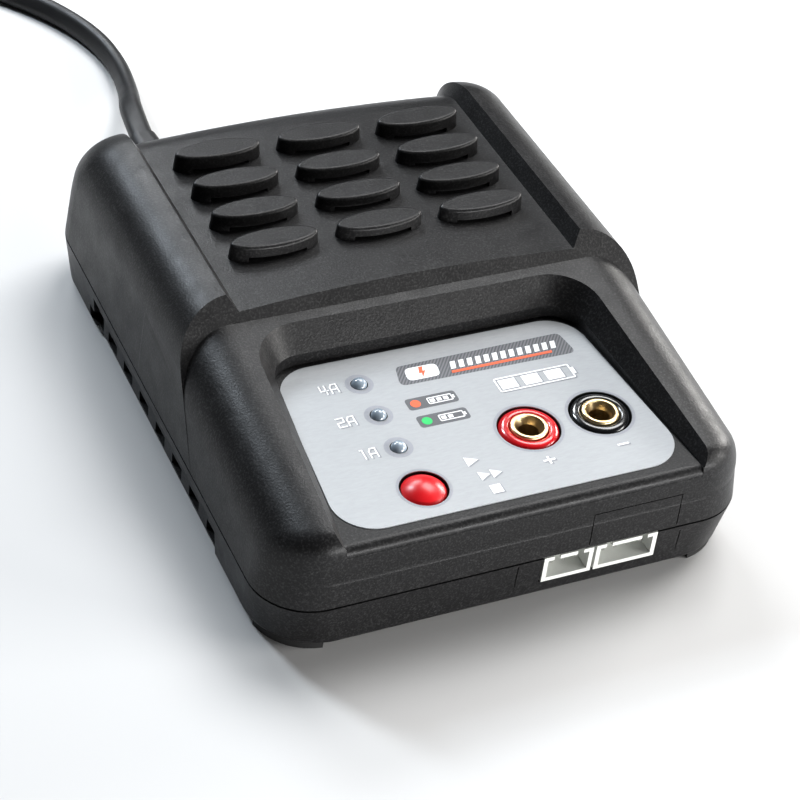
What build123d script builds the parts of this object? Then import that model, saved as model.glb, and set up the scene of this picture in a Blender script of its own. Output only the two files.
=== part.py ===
from build123d import *
import math
import os

# Mains-powered balance battery charger for model packs, with its mains cord and plug.
# Millimetres. X is the width (right is +X seen from the front), Y the depth (front is -Y),
# Z is up. The origin is on the standing plane, under the centre of the body.

# ---------------------------------------------------------------- driving dimensions
BODY_W = 95.4            # width at the parting line
BODY_D = 122.0           # depth at the parting line
FOOT_H = 1.5             # the rubber feet hold the case this far up
PART_Z = 10.9            # parting line between the two shells
PART_GAP = 0.4           # shadow gap along the parting line
SIDE_DRAFT = math.tan(math.radians(4.3))
FRONT_DRAFT = math.tan(math.radians(1.5))
CORNER_R = 11.0          # plan corner radius at the parting line
WALL = 2.0               # wall thickness of both shells
LEAN = math.tan(math.radians(34.6))   # lean of the step face and of the panel's banks

DECK_Z = 33.4            # rear deck height at the step, beside the grooves
DECK_FALL = 0.024        # the rear top falls towards the back, mm per mm
DECK_HALF_W = 33.95      # half distance between the two grooves
DECK_CROWN = 1.0         # rise of the deck's middle over its edges
ROLL_TOP_Z = 36.3        # crest of the rear side rolls at the step
ROLL_R = 11.0            # radius of the rear side rolls
BACK_ROLL_R = 13.6       # radius along the back edge
STEP_Y = -5.6            # the step face is here at STEP_Z
STEP_Z = 34.7

FRONT_TOP_Z = 31.7       # crest of the front side rolls at FRONT_REF_Y
FRONT_REF_Y = -8.3
FRONT_FALL = 0.108       # the front rolls fall towards the front, mm per mm
FRONT_ROLL_R = 10.5
RIM_R = 3.5              # rounding where the front rolls meet the front face

LABEL_Z = 24.0           # top of the control label
LABEL_T = 0.2
LABEL_BACK_Y = -14.15
LABEL_FRONT_Y = -57.4
LABEL_HALF_BACK = 30.3
LABEL_HALF_FRONT = 34.1
LABEL_CORNER_R = 7.5
FRONT_RIM_R = 1.7        # rounding of the panel's open front edge
BANK_FOOT_Z = 26.3       # top of the upright part of the panel's side walls, at the back
BANK_FOOT_FALL = 0.053   # and how that edge falls towards the front

BASE_HALF_W = 47.0       # half width and half depth of the underside
BASE_HALF_D = 60.4
BASE_CORNER_R = 13.0
BASE_EDGE_R = 1.0
SIDE_RECESS = 0.8        # depth of the vented zone along each lower side
SIDE_RECESS_Y = 34.0     # and its half length
SIDE_RECESS_TOP = 8.7
SIDE_VENT_PITCH = 9.25
SIDE_VENT_W = 5.0
SIDE_VENT_COUNT = 7
SIDE_VENT_FIRST_Y = 25.8
SIDE_VENT_Z = (2.0, 4.5)
SIDE_VENT_DEPTH = 2.4    # from the vented zone's face, past the wall
SIDE_NOTCH_Y = (31.3, 36.8)      # a taller slot at the back end of the vented zone
SIDE_NOTCH_TOP = 5.2
BASE_VENT_COUNT = 7      # slots in the underside, on each side of the plate
GROOVE_W = 0.2           # witness lines of the mould inserts on the front face

HOOD_W = 17.15           # vent hoods: plan size, spacing and wall
HOOD_D = 5.65
HOOD_X = 21.3
HOOD_FIRST_Y = 9.04
HOOD_PITCH = 10.06
HOOD_ROWS = 4
HOOD_TOP_Z = 36.6        # top of the first row; the rows behind step down with HOOD_FALL
HOOD_FALL = 0.0115
HOOD_WALL = 1.0
HOOD_DRAFT = 0.11        # how far the sides flare, per millimetre of height
HOOD_EDGE_R = 0.6
HOOD_SLOT_W = 11.6       # openings under the front and back of each hood
HOOD_SLOT_H = 0.8

LED_X = -15.8            # the row of lamps, and the button in line with them
LED_YS = (-39.29, -30.33, -21.38)
LED_R = 1.5
LED_TOP = 25.2
BUTTON_Y = -50.36
BUTTON_R = 4.05
BUTTON_GAP = 0.4
BUTTON_TOP = 25.3
BUTTON_EDGE_Z = 23.5
BUTTON_FLANGE = (19.6, 21.5)
BUTTON_TRAVEL = 1.2
SWITCH_TOP = 18.2
SPRING_Z = (14.2, 17.1)  # the button's return spring, from the switch floor to the plunger
SPRING_R = 1.3
SPRING_WIRE_R = 0.15
SPRING_TURNS = 4

SOCKETS = {"pos": (8.9, -41.4), "neg": (23.3, -41.5)}
SOCKET_BORE_R = 2.0      # 4 mm banana sockets
SOCKET_BORE_DEPTH = 14.0
SOCKET_MOUTH_R = 2.75    # a countersink leads into the bore
SOCKET_MOUTH_DEPTH = 1.6
SOCKET_TUBE_R = 3.5
SOCKET_COLLAR_R = 5.75   # the coloured collar stands in a hole of the panel
SOCKET_COLLAR_TOP = 24.3
SOCKET_FLANGE_R = 6.9
SOCKET_FLANGE_Z = 19.8
SOCKET_TOP = 24.6

HEADERS = {"3pin": (9.5, 9.9, 3), "4pin": (21.26, 12.4, 4)}   # centre x, width, ways
HEADER_Z = (5.0, 10.76)
HEADER_Y = (-61.0, -54.1)
HEADER_WALL = 0.85
HEADER_PITCH = 2.5
PIN_W = 0.64
HEADER_BOARD_T = 1.6

BOARD_Z = (6.0, 7.6)     # main circuit board
BOARD_X = 33.5
BOARD_Y = 52.0
TERMINAL_Y = 51.0        # back of the mains terminal
PANEL_BOARD_Z = (11.6, 13.2)
BOSS = (38.5, 44.0)      # housing screws, at +-x and +-y
BOSS_R = 3.2
LOWER_BOSS_R = 4.0
BOARD_POSTS = ((-30.0, -44.0), (30.0, -46.0), (-31.0, 40.5), (30.0, 46.0))
PANEL_POSTS = ((-27.0, -52.0), (-27.0, -20.0), (-2.5, -19.5), (-2.0, -53.0))
BULK_CAPACITOR = (-12.0, 22.0, 8.0, 20.0)     # x, y, radius and height
OUTPUT_CAPACITORS = ((5.0, -6.0, 4.0, 11.0), (15.0, -6.0, 4.0, 11.0))
PRIMARY_SINK = (-27.0, -8.0, 10.0, 16.0, -1)  # x, front, back, height and side of the fins
OUTPUT_SINK = (26.5, -14.0, 2.0, 14.0, 1)
SINK_T = 2.0
SINK_FIN_T = 1.2
SINK_FIN_PITCH = 4.0
SINK_FIN_REACH = 5.0
BRIDGE = (-28.0, -24.0, 12.0, 14.9)           # x and y spans
BRIDGE_H = 9.0
FILM_CAPACITOR = (-2.0, 4.0, 38.0, 50.0)
FILM_CAPACITOR_H = 12.0
CHOKE_PLACE = (-12.0, 39.0)
CHOKE_R = 7.5
CHOKE_HOLE_R = 3.4
CHOKE_T = 6.0
FUSE_PLACE = (-27.5, 27.0)
CONTROLLER = (-16.0, -8.0, 6.5, 19.0, 3.3, 14)    # x, y, width, depth, height, legs a side
BALANCE_CHIP = (14.0, -22.0, 4.0, 9.0, 1.5, 7)
PLATE_HALF = (25.0, 15.0)     # rating plate on the underside
PLATE_T = 0.3
FOOT_X = (36.4, 46.2)
FOOT_Y = (50.4, 59.5)

CORD_W = 5.0             # flat two-core mains cord
CORD_T = 3.2
CORD_Z = 10.9            # height of the exit, in the parting line
FLAT_Z = 1.65            # height of the cord's axis where it lies on the table
RELIEF_END_Y = 80.0
RELIEF_ROOT = (8.6, 6.6)
RELIEF_TIP = (6.0, 4.1)
RELIEF_FLANGE_Y = (56.2, 57.9)   # the flange inside the back wall
COIL_CENTRE = (-26.0, 199.0)
COIL_OUTER_R = 35.1
COIL_INNER_R = 17.4
COIL_H = 6.6
COIL_TOP_Z = 4.9         # axis height of the coil's upper layer
CORD_ROUTE = [
    (-21.6, RELIEF_END_Y, CORD_Z),
    (-20.3, 92.0, 10.3),
    (-15.5, 106.5, 3.6),
    (-13.3, 119.5, FLAT_Z),
    (-14.3, 131.0, FLAT_Z),
    (-18.6, 142.5, FLAT_Z),
    (-25.6, 153.5, FLAT_Z),
    (-34.5, 163.5, FLAT_Z),
    (-44.6, 172.4, FLAT_Z),
]
TAIL_ROUTE = [
    (-26.0, 231.5, COIL_TOP_Z),
    (-12.5, 231.0, 5.0),
    (1.0, 228.3, 5.5),
    (12.5, 222.5, 6.2),
    (21.0, 214.5, 6.85),
    (26.5, 204.5, 6.85),
]
PLUG_TURN = 20.0         # the plug's pins point this far round from the front
PLUG_T = 13.7            # flat two-pin mains plug
PLUG_W = 35.3
PLUG_TAIL_W = 14.0
PLUG_L = 34.0
PLUG_PIN_R = 2.0
PLUG_PIN_L = 19.0
PLUG_PIN_SPACING = 18.6

FLOOR_Z = LABEL_Z - LABEL_T
FLOOR_UNDER_Z = FLOOR_Z - WALL
HALF_W = BODY_W / 2
HALF_D = BODY_D / 2
UPPER_Z = PART_Z + PART_GAP / 2
LOWER_Z = PART_Z - PART_GAP / 2
BASE_Z = FOOT_H
BASE_TOP = FOOT_H + WALL


# ---------------------------------------------------------------- helpers
def box(x0, x1, y0, y1, z0, z1):
    """A box from its low and high corners."""
    centre = ((x0 + x1) / 2, (y0 + y1) / 2, (z0 + z1) / 2)
    return Pos(*centre) * Box(x1 - x0, y1 - y0, z1 - z0)


def rod(x, y, z0, z1, radius):
    """An upright cylinder between two heights."""
    return Pos(x, y, (z0 + z1) / 2) * Cylinder(radius, z1 - z0)


def rounded_wire(half_w, y_front, y_back, r_front, r_back):
    """A closed outline of four straight sides and four corner arcs."""
    s = math.sqrt(0.5)
    corners = [
        (half_w, y_back, r_back, 1, 1),
        (-half_w, y_back, r_back, -1, 1),
        (-half_w, y_front, r_front, -1, -1),
        (half_w, y_front, r_front, 1, -1),
    ]
    arcs = []
    for x, y, r, sx, sy in corners:
        cx, cy = x - sx * r, y - sy * r
        side = (x, cy)
        end = (cx, y)
        mid = (cx + sx * r * s, cy + sy * r * s)
        first, last = (side, end) if sx * sy > 0 else (end, side)
        arcs.append((first, mid, last))
    edges = []
    for i, (first, mid, last) in enumerate(arcs):
        edges.append(ThreePointArc(first, mid, last))
        edges.append(Line(last, arcs[(i + 1) % 4][0]))
    return Wire([e.edge() if hasattr(e, "edge") else e for e in edges])


def rolled_block(end, grow, top_z, ref_y, slope, side_roll, end_roll, end_draft, plain_y):
    """A drafted block whose top rolls over into its two sides and one end.

    "end" is 1 for a rolled back and -1 for a rolled front; the other end is plain, at plain_y.
    The horizontal sections tip over little by little, so that the top climbs by "slope" per
    mm of depth. "grow" moves the faces out, or in when it is negative."""
    top_z += grow
    side_roll += grow
    end_roll = max(end_roll + grow, 1.0)
    tilt = math.atan(slope)
    draft_angle = math.atan(SIDE_DRAFT)
    roll_start = top_z - side_roll * (1 - math.sin(draft_angle))
    wall_heights = [PART_Z, min(roll_start - 1, top_z - end_roll), roll_start]
    angles = [draft_angle] + [math.radians(a) for a in (15, 27, 39, 51, 63, 74, 83, 90)]
    roll_heights = [top_z - side_roll * (1 - math.sin(a)) for a in angles]
    roll_centre = HALF_W + grow - SIDE_DRAFT * (roll_start - PART_Z) - side_roll * math.cos(draft_angle)

    def section(h):
        tip = tilt * min(1.0, (h - PART_Z) / (roll_start - PART_Z))
        half_w = HALF_W + grow - SIDE_DRAFT * (h - PART_Z)
        spread = 1.0
        if h >= roll_start:
            spread = math.sqrt(max(0.0, 1 - ((h - top_z + side_roll) / side_roll) ** 2))
            half_w = roll_centre + side_roll * spread
        end_z = h + math.tan(tip) * (end * HALF_D - ref_y)
        reach = HALF_D + grow - end_draft * (end_z - PART_Z)
        rise = h - (top_z - end_roll)
        if rise > 0:
            reach -= end_roll - math.sqrt(max(0.0, end_roll ** 2 - rise ** 2))
        corner = max(0.6, (CORNER_R + grow) * spread)
        rolled_y = (end * reach - ref_y) / math.cos(tip)
        square_y = (plain_y - ref_y) / math.cos(tip)
        plane = Plane(origin=(0, ref_y, h), x_dir=(1, 0, 0), z_dir=(0, -math.sin(tip), math.cos(tip)))
        if end > 0:
            wire = rounded_wire(half_w, square_y, rolled_y, 0.6, corner)
        else:
            wire = rounded_wire(half_w, rolled_y, square_y, corner, 0.6)
        return plane * Face(wire)

    wall = loft([section(h) for h in wall_heights], ruled=True)
    roll = loft([section(h) for h in roll_heights])
    return wall + roll


def rear_block(grow):
    return rolled_block(1, grow, ROLL_TOP_Z, STEP_Y, -DECK_FALL, ROLL_R, BACK_ROLL_R, SIDE_DRAFT, -24)


def front_block(grow):
    return rolled_block(
        -1, grow, FRONT_TOP_Z, FRONT_REF_Y, FRONT_FALL, FRONT_ROLL_R, RIM_R, FRONT_DRAFT, 8
    )


def deck_cut(grow):
    """The crowned channel between the two rolls: along the rear top, over the back and down it.

    Its side walls lean out like the step face does, and it runs out at the parting line."""
    half_w = DECK_HALF_W + grow / math.cos(math.atan(LEAN))
    rise = 12
    outline = [
        Line((half_w, -grow), (half_w + rise * LEAN, rise)),
        Line((half_w + rise * LEAN, rise), (-half_w - rise * LEAN, rise)),
        Line((-half_w - rise * LEAN, rise), (-half_w, -grow)),
        ThreePointArc((-half_w, -grow), (0, DECK_CROWN - grow), (half_w, -grow)),
    ]
    section = Face(Wire([e.edge() for e in outline]))
    fall = math.atan(DECK_FALL)
    depth = ROLL_TOP_Z - DECK_Z
    bend = BACK_ROLL_R - depth
    back_y = HALF_D - depth - SIDE_DRAFT * (DECK_Z - bend - PART_Z)
    bend_y = back_y - bend
    start = (0, -45, DECK_Z + DECK_FALL * (45 + STEP_Y))
    turn = (0, bend_y, DECK_Z - DECK_FALL * (bend_y - STEP_Y))
    centre_y = turn[1] - bend * math.sin(fall)
    centre_z = turn[2] - bend * math.cos(fall)
    reach_y = HALF_D - centre_y
    reach_z = PART_Z - centre_z
    drop = math.asin(bend / math.hypot(reach_y, reach_z)) - math.atan2(reach_z, reach_y)

    def on_bend(angle):
        """A point of the bend, "angle" down from straight up."""
        return (0, centre_y + bend * math.sin(angle), centre_z + bend * math.cos(angle))

    last = on_bend(drop)
    middle = on_bend((fall + drop) / 2)
    run = 40
    foot = (0, last[1] + run * math.cos(drop), last[2] - run * math.sin(drop))
    path = Wire([
        Line(start, turn).edge(),
        ThreePointArc(turn, middle, last).edge(),
        Line(last, foot).edge(),
    ])
    plane = Plane(origin=start, x_dir=(1, 0, 0), z_dir=(0, -math.cos(fall), math.sin(fall)))
    return sweep(plane * section, path=path)


def step_cut(grow):
    """Everything in front of the leaning step face."""
    shift = -grow / math.cos(math.atan(LEAN))
    low_z, high_z = -10, 60
    low_y = STEP_Y + shift - LEAN * (STEP_Z - low_z)
    high_y = STEP_Y + shift - LEAN * (STEP_Z - high_z)
    profile = Polyline((low_y, low_z), (high_y, high_z), (-120, high_z), (-120, low_z), close=True)
    return extrude(Plane.YZ * make_face(profile), amount=100, both=True)


def panel_outline(grow, y_front):
    """The panel's floor outline: a trapezoid, wider at the front, with rounded back corners."""
    splay = (LABEL_HALF_FRONT - LABEL_HALF_BACK) / (LABEL_BACK_Y - LABEL_FRONT_Y)
    back = LABEL_BACK_Y + 1.1 + grow
    half_back = LABEL_HALF_BACK - splay * 1.1 + 0.3 + grow
    half_front = half_back + splay * (back - y_front)
    shape = Polyline(
        (half_back, back), (half_front, y_front), (-half_front, y_front), (-half_back, back), close=True
    )
    face = make_face(shape)
    rear_corners = face.vertices().sort_by(Axis.Y)[-2:]
    return fillet(rear_corners, LABEL_CORNER_R - 1.5 + grow)


def panel_cut(grow):
    """The panel recess: an upright foot, then banks that lean back at the same angle as the step."""
    foot = Pos(0, 0, FLOOR_Z - grow) * extrude(panel_outline(grow, -90), amount=30)
    tip = math.atan(BANK_FOOT_FALL)
    plane = Plane(
        origin=(0, LABEL_BACK_Y, BANK_FOOT_Z), x_dir=(1, 0, 0), z_dir=(0, -math.sin(tip), math.cos(tip))
    )
    sink = 0.6
    outline = panel_outline(grow - sink * LEAN, -90)
    bank = plane * Pos(0, -LABEL_BACK_Y, -sink) * extrude(outline, amount=16, taper=-34.6)
    return foot + (bank & box(-90, 90, -120, 20, FLOOR_Z - grow, 60))


def upper_solid(grow):
    """The upper shell's outer form, or the hollow inside it when grow is negative."""
    rear = rear_block(grow) - step_cut(grow)
    form = rear + front_block(grow)
    form -= deck_cut(-grow)
    return form - panel_cut(-grow)


def deck_height(x, y):
    """Height of the rear deck's surface."""
    return DECK_Z - DECK_FALL * (y - STEP_Y) + DECK_CROWN * (1 - (x / DECK_HALF_W) ** 2)


def save(name, *solids):
    """Write one node."""
    shape = solids[0] if len(solids) == 1 else Compound(children=list(solids))
    export_step(shape, f"parts/{name}.step")


# ---------------------------------------------------------------- upper shell
def hood_places():
    """Centre and top height of each vent hood."""
    for row in range(HOOD_ROWS):
        y = HOOD_FIRST_Y + row * HOOD_PITCH
        for x in (-HOOD_X, 0.0, HOOD_X):
            yield x, y, HOOD_TOP_Z - HOOD_FALL * (y - HOOD_FIRST_Y)


def hood(x, y, top):
    """One elliptical vent hood, open under its front and back edges."""
    deck = deck_height(x, y)
    base = deck - 1.2
    flare = HOOD_DRAFT * (top - base)
    foot = Pos(x, y, base) * Ellipse(HOOD_W / 2 + flare, HOOD_D / 2 + flare)
    crown = Pos(x, y, top) * Ellipse(HOOD_W / 2, HOOD_D / 2)
    cup = loft([foot, crown], ruled=True)
    cup = fillet(cup.edges().group_by(Axis.Z)[-1], HOOD_EDGE_R)
    return cup - box(x - HOOD_SLOT_W / 2, x + HOOD_SLOT_W / 2, y - 5, y + 5, base - 1, deck + HOOD_SLOT_H)


def hood_hollow(x, y, top):
    """The air way up into a hood, through the deck."""
    base = deck_height(x, y) - 4
    oval = Ellipse(HOOD_W / 2 - HOOD_WALL, HOOD_D / 2 - HOOD_WALL)
    return Pos(x, y, base) * extrude(oval, amount=top - 1.2 - base)


def mirrored(places):
    """Each (x, y) at all four corners."""
    x, y = places
    return [(sx * x, sy * y) for sx in (-1, 1) for sy in (-1, 1)]


def make_upper_shell():
    hollow = upper_solid(-WALL)
    for x, y in mirrored(BOSS):
        hollow -= rod(x, y, 5, 40, BOSS_R)
    for x, y in PANEL_POSTS:
        hollow -= rod(x, y, PANEL_BOARD_Z[1], 30, 2.2)
    shell = upper_solid(0)
    shell += [hood(*place) for place in hood_places()]
    shell -= hollow
    cuts = [hood_hollow(*place) for place in hood_places()]
    cuts += [rod(x, y, 5, 20, 1.55) for x, y in mirrored(BOSS)]
    cuts += [rod(x, y, 5, 20, 0.85) for x, y in PANEL_POSTS]
    cuts += [rod(LED_X, y, 20, 26, LED_R + 0.1) for y in LED_YS]
    cuts += [rod(x, y, 20, 26, SOCKET_COLLAR_R + 0.1) for x, y in SOCKETS.values()]
    cuts.append(rod(LED_X, BUTTON_Y, 20, 26, BUTTON_R + BUTTON_GAP))
    cuts.append(box(-60, 60, -70, 70, 0, UPPER_Z))
    cuts.append(cord_notch())
    cuts.append(rim_rounding())
    cuts += front_witness_lines()
    return shell - cuts


def rim_rounding():
    """What rounding the panel's open front edge takes away."""
    r = FRONT_RIM_R
    half = LABEL_HALF_FRONT + 0.4
    y = FRONT_DRAFT * (FLOOR_Z - PART_Z) - HALF_D
    corner = box(-half, half, y - 1, y + r, FLOOR_Z - r, FLOOR_Z + 1)
    return corner - Pos(0, y + r, FLOOR_Z - r) * Rot(0, 90, 0) * Cylinder(r, 2 * half + 2)


def cord_notch():
    """The hole in the back wall, half in each shell, that grips the cord's strain relief."""
    x = CORD_ROUTE[0][0]
    w, h = RELIEF_ROOT
    neck = box(x - w / 2 - 0.1, x + w / 2 + 0.1, 56, 63, CORD_Z - h / 2 - 0.1, CORD_Z + h / 2 + 0.1)
    y1 = RELIEF_FLANGE_Y[1] + 0.1
    return neck + box(x - w / 2 - 1, x + w / 2 + 1, 56, y1, CORD_Z - h / 2 - 1, CORD_Z + h / 2 + 1)


def front_witness_lines():
    """Fine lines left by the mould inserts on the front face, above and below the parting line."""
    w = GROOVE_W
    upper_y = (-62, -60.62)
    lower_y = (-62, -60.55)
    return [
        box(13.3 - w / 2, 13.3 + w / 2, *upper_y, UPPER_Z + 0.5, 18.7),
        box(13.3 - w / 2, 31.2, *upper_y, 18.7, 18.7 + w),
        box(31.0, 31.0 + w, *upper_y, UPPER_Z + 0.5, 18.7),
        box(-0.55 - w / 2, -0.55 + w / 2, *lower_y, 2.2, 10.2),
        box(32.3 - w / 2, 32.3 + w / 2, *lower_y, 4.7, 9.8),
    ]


# ---------------------------------------------------------------- lower shell
def lower_solid(grow, base):
    """The lower shell's outer form, or its hollow when grow is negative."""
    def section(z):
        share = (z - BASE_Z) / (LOWER_Z - BASE_Z)
        half_w = BASE_HALF_W + (HALF_W - BASE_HALF_W) * share + grow
        half_d = BASE_HALF_D + (HALF_D - BASE_HALF_D) * share + grow
        corner = BASE_CORNER_R + (CORNER_R - BASE_CORNER_R) * share + grow
        return Pos(0, 0, z) * Face(rounded_wire(half_w, -half_d, half_d, corner, corner))

    form = loft([section(base), section(LOWER_Z)], ruled=True)
    if grow == 0:
        form = fillet(form.edges().group_by(Axis.Z)[0], BASE_EDGE_R)
    return form


def lip():
    """A low wall inside the parting line that keeps the shells in register."""
    def ring(inset):
        half_w = HALF_W - inset
        half_d = HALF_D - inset
        r = CORNER_R - inset
        outline = rounded_wire(half_w, -half_d, half_d, r, r)
        return Pos(0, 0, 8.0) * extrude(Face(outline), amount=4.4)

    return ring(WALL + 0.8) - ring(WALL + 1.8)


def make_lower_shell():
    shell = lower_solid(0, BASE_Z) - lower_solid(-WALL, BASE_TOP)
    shell += lip()
    shell += [rod(x, y, BASE_TOP - 0.5, UPPER_Z, LOWER_BOSS_R) for x, y in mirrored(BOSS)]
    shell += [rod(x, y, BASE_TOP - 0.5, BOARD_Z[0], 2.5) for x, y in BOARD_POSTS]
    cuts = []
    for x, y in mirrored(BOSS):
        cuts.append(rod(x, y, 0, 5, 2.9))
        cuts.append(rod(x, y, 4, 14, 1.75))
    cuts += [rod(x, y, 4, 7, 1.05) for x, y in BOARD_POSTS]
    for side in (-1, 1):
        x0, x1 = sorted((side * (BASE_HALF_W - SIDE_RECESS), side * 50))
        cuts.append(box(x0, x1, -SIDE_RECESS_Y, SIDE_RECESS_Y, 0, SIDE_RECESS_TOP))
        cuts += side_vents(side)
    cuts += base_vents()
    cuts.append(box(4.3, 27.7, -62, -54, HEADER_Z[0] - 0.2, 15))
    cuts.append(cord_notch())
    cuts += front_witness_lines()
    half_x, half_y = PLATE_HALF
    gap = 0.2
    cuts.append(box(-half_x - gap, half_x + gap, -half_y - gap, half_y + gap, 1.2, BASE_Z + PLATE_T))
    return shell - cuts


def side_vents(side):
    """Slots through one side wall, low down."""
    inner_x = BASE_HALF_W - SIDE_RECESS - SIDE_VENT_DEPTH
    x0, x1 = sorted((side * inner_x, side * 50))
    slots = []
    for i in range(SIDE_VENT_COUNT):
        y = SIDE_VENT_FIRST_Y - i * SIDE_VENT_PITCH
        slots.append(box(x0, x1, y - SIDE_VENT_W / 2, y + SIDE_VENT_W / 2, *SIDE_VENT_Z))
    slots.append(box(x0, x1, *SIDE_NOTCH_Y, SIDE_VENT_Z[0], SIDE_NOTCH_TOP))
    return slots


def base_vents():
    """Two rows of slots through the underside."""
    slots = []
    for i in range(BASE_VENT_COUNT):
        x = (i - (BASE_VENT_COUNT - 1) / 2) * 7.0
        for y in (-33.0, 26.0):
            slots.append(Pos(x, y, BASE_Z) * extrude(SlotOverall(14, 2.4, rotation=90), amount=6, both=True))
    return slots


def make_feet():
    feet = []
    plate = Face(rounded_wire(FOOT_X[1], -FOOT_Y[1], FOOT_Y[1], 11.0, 11.0))
    slab = extrude(plate, amount=FOOT_H)
    for sx in (-1, 1):
        for sy in (-1, 1):
            x0, x1 = sorted((sx * FOOT_X[0], sx * 60))
            y0, y1 = sorted((sy * FOOT_Y[0], sy * 70))
            feet.append(slab & box(x0, x1, y0, y1, -1, 3))
    return feet


def make_housing_screws():
    screws = []
    for x, y in mirrored(BOSS):
        screw = rod(x, y, 3.0, 5.0, 2.6) + rod(x, y, 5.0, 19.0, 1.5)
        screws.append(screw - cross_slot(x, y, 2.9, 4.0, 3.0))
    return screws


def cross_slot(x, y, z0, z1, span):
    """The driving cross in a screw head."""
    arm = 0.3
    half = span / 2
    along = box(x - half, x + half, y - arm, y + arm, z0, z1)
    return along + box(x - arm, x + arm, y - half, y + half, z0, z1)


# ---------------------------------------------------------------- control panel
def make_label():
    splay = (LABEL_HALF_FRONT - LABEL_HALF_BACK) / (LABEL_BACK_Y - LABEL_FRONT_Y)
    front_half = LABEL_HALF_BACK + splay * (LABEL_BACK_Y - LABEL_FRONT_Y) - 0.2
    back_half = LABEL_HALF_BACK - 0.2
    shape = Polyline(
        (back_half, LABEL_BACK_Y), (front_half, LABEL_FRONT_Y),
        (-front_half, LABEL_FRONT_Y), (-back_half, LABEL_BACK_Y), close=True
    )
    face = make_face(shape)
    face = fillet(face.vertices(), LABEL_CORNER_R)
    sheet = Pos(0, 0, FLOOR_Z) * extrude(face, amount=LABEL_T)
    cuts = [rod(LED_X, y, 20, 26, LED_R + 0.15) for y in LED_YS]
    cuts += [rod(x, y, 20, 26, SOCKET_COLLAR_R + 0.15) for x, y in SOCKETS.values()]
    cuts.append(rod(LED_X, BUTTON_Y, 20, 26, BUTTON_R + BUTTON_GAP))
    return sheet - cuts


def make_led(y):
    """A round 3 mm lamp with its flange under the panel."""
    base = FLOOR_UNDER_Z - 1.8
    straight = LED_TOP - LED_R
    body = rod(LED_X, y, base, straight, LED_R) + rod(LED_X, y, base, base + 1.0, LED_R + 0.4)
    return body + Pos(LED_X, y, straight) * Sphere(LED_R)


def make_led_leads():
    top = FLOOR_UNDER_Z - 1.8
    leads = []
    for y in LED_YS:
        for dx in (-1.27, 1.27):
            leads.append(box(LED_X + dx - 0.25, LED_X + dx + 0.25, y - 0.25, y + 0.25, PANEL_BOARD_Z[1], top))
    return leads


def make_button():
    low, high = BUTTON_FLANGE
    stem = rod(LED_X, BUTTON_Y, low, BUTTON_EDGE_Z, BUTTON_R)
    rise = BUTTON_TOP - BUTTON_EDGE_Z
    dome_r = (BUTTON_R ** 2 + rise ** 2) / (2 * rise)
    dome = Pos(LED_X, BUTTON_Y, BUTTON_TOP - dome_r) * Sphere(dome_r)
    dome &= rod(LED_X, BUTTON_Y, BUTTON_EDGE_Z - 1, BUTTON_TOP + 1, BUTTON_R)
    return stem + dome + rod(LED_X, BUTTON_Y, low, high, BUTTON_R + 1.2)


def make_switch_body():
    z0 = PANEL_BOARD_Z[1]
    body = box(LED_X - 3.1, LED_X + 3.1, BUTTON_Y - 3.1, BUTTON_Y + 3.1, z0, SWITCH_TOP)
    return body - rod(LED_X, BUTTON_Y, SPRING_Z[0], 20, 1.8)


def make_plunger():
    return rod(LED_X, BUTTON_Y, SPRING_Z[1], BUTTON_FLANGE[0], 1.5)


def make_spring():
    height = SPRING_Z[1] - SPRING_Z[0] - 2 * SPRING_WIRE_R
    helix = Helix(pitch=height / SPRING_TURNS, height=height, radius=SPRING_R)
    wire = Plane(origin=helix @ 0, z_dir=helix % 0) * Circle(SPRING_WIRE_R)
    return Pos(LED_X, BUTTON_Y, SPRING_Z[0] + SPRING_WIRE_R) * sweep(wire, path=helix, is_frenet=True)


def make_socket_collar(x, y):
    """The coloured collar in the panel's hole, with its flange against the underside."""
    collar = rod(x, y, SOCKET_FLANGE_Z, SOCKET_COLLAR_TOP, SOCKET_COLLAR_R)
    collar = fillet(collar.edges().group_by(Axis.Z)[-1], 0.9)
    collar += rod(x, y, SOCKET_FLANGE_Z, FLOOR_UNDER_Z, SOCKET_FLANGE_R)
    return collar - rod(x, y, 17, 27, SOCKET_TUBE_R + 0.03)


def make_socket_contact(x, y):
    """The turned brass socket with its blind bore."""
    floor = SOCKET_TOP - SOCKET_BORE_DEPTH
    tube = rod(x, y, floor - 1.3, SOCKET_TOP, SOCKET_TUBE_R)
    tube = fillet(tube.edges().group_by(Axis.Z)[-1], 0.35)
    funnel = Cone(SOCKET_BORE_R, SOCKET_MOUTH_R, SOCKET_MOUTH_DEPTH)
    tube -= rod(x, y, floor, SOCKET_TOP, SOCKET_BORE_R)
    return tube - Pos(x, y, SOCKET_TOP - SOCKET_MOUTH_DEPTH / 2) * funnel


def make_socket_nut(x, y):
    """The nut on the contact, under the collar."""
    blank = Pos(x, y, SOCKET_FLANGE_Z - 2.4) * extrude(RegularPolygon(5.4, 6), amount=2.4)
    return blank - rod(x, y, 10, 23, SOCKET_TUBE_R + 0.03)


def make_socket_lug(x, y):
    """The solder lug that stands on the main board and carries the contact."""
    top = SOCKET_TOP - SOCKET_BORE_DEPTH - 1.3
    plate = box(x - 3.2, x + 3.2, y - 2.2, y + 2.2, top - 0.8, top)
    return plate + box(x - 2.4, x + 2.4, y - 0.4, y + 0.4, BOARD_Z[1], top - 0.8)


# ---------------------------------------------------------------- balance headers
def header_pins(cx, ways):
    for i in range(ways):
        yield cx + (i - (ways - 1) / 2) * HEADER_PITCH


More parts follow.
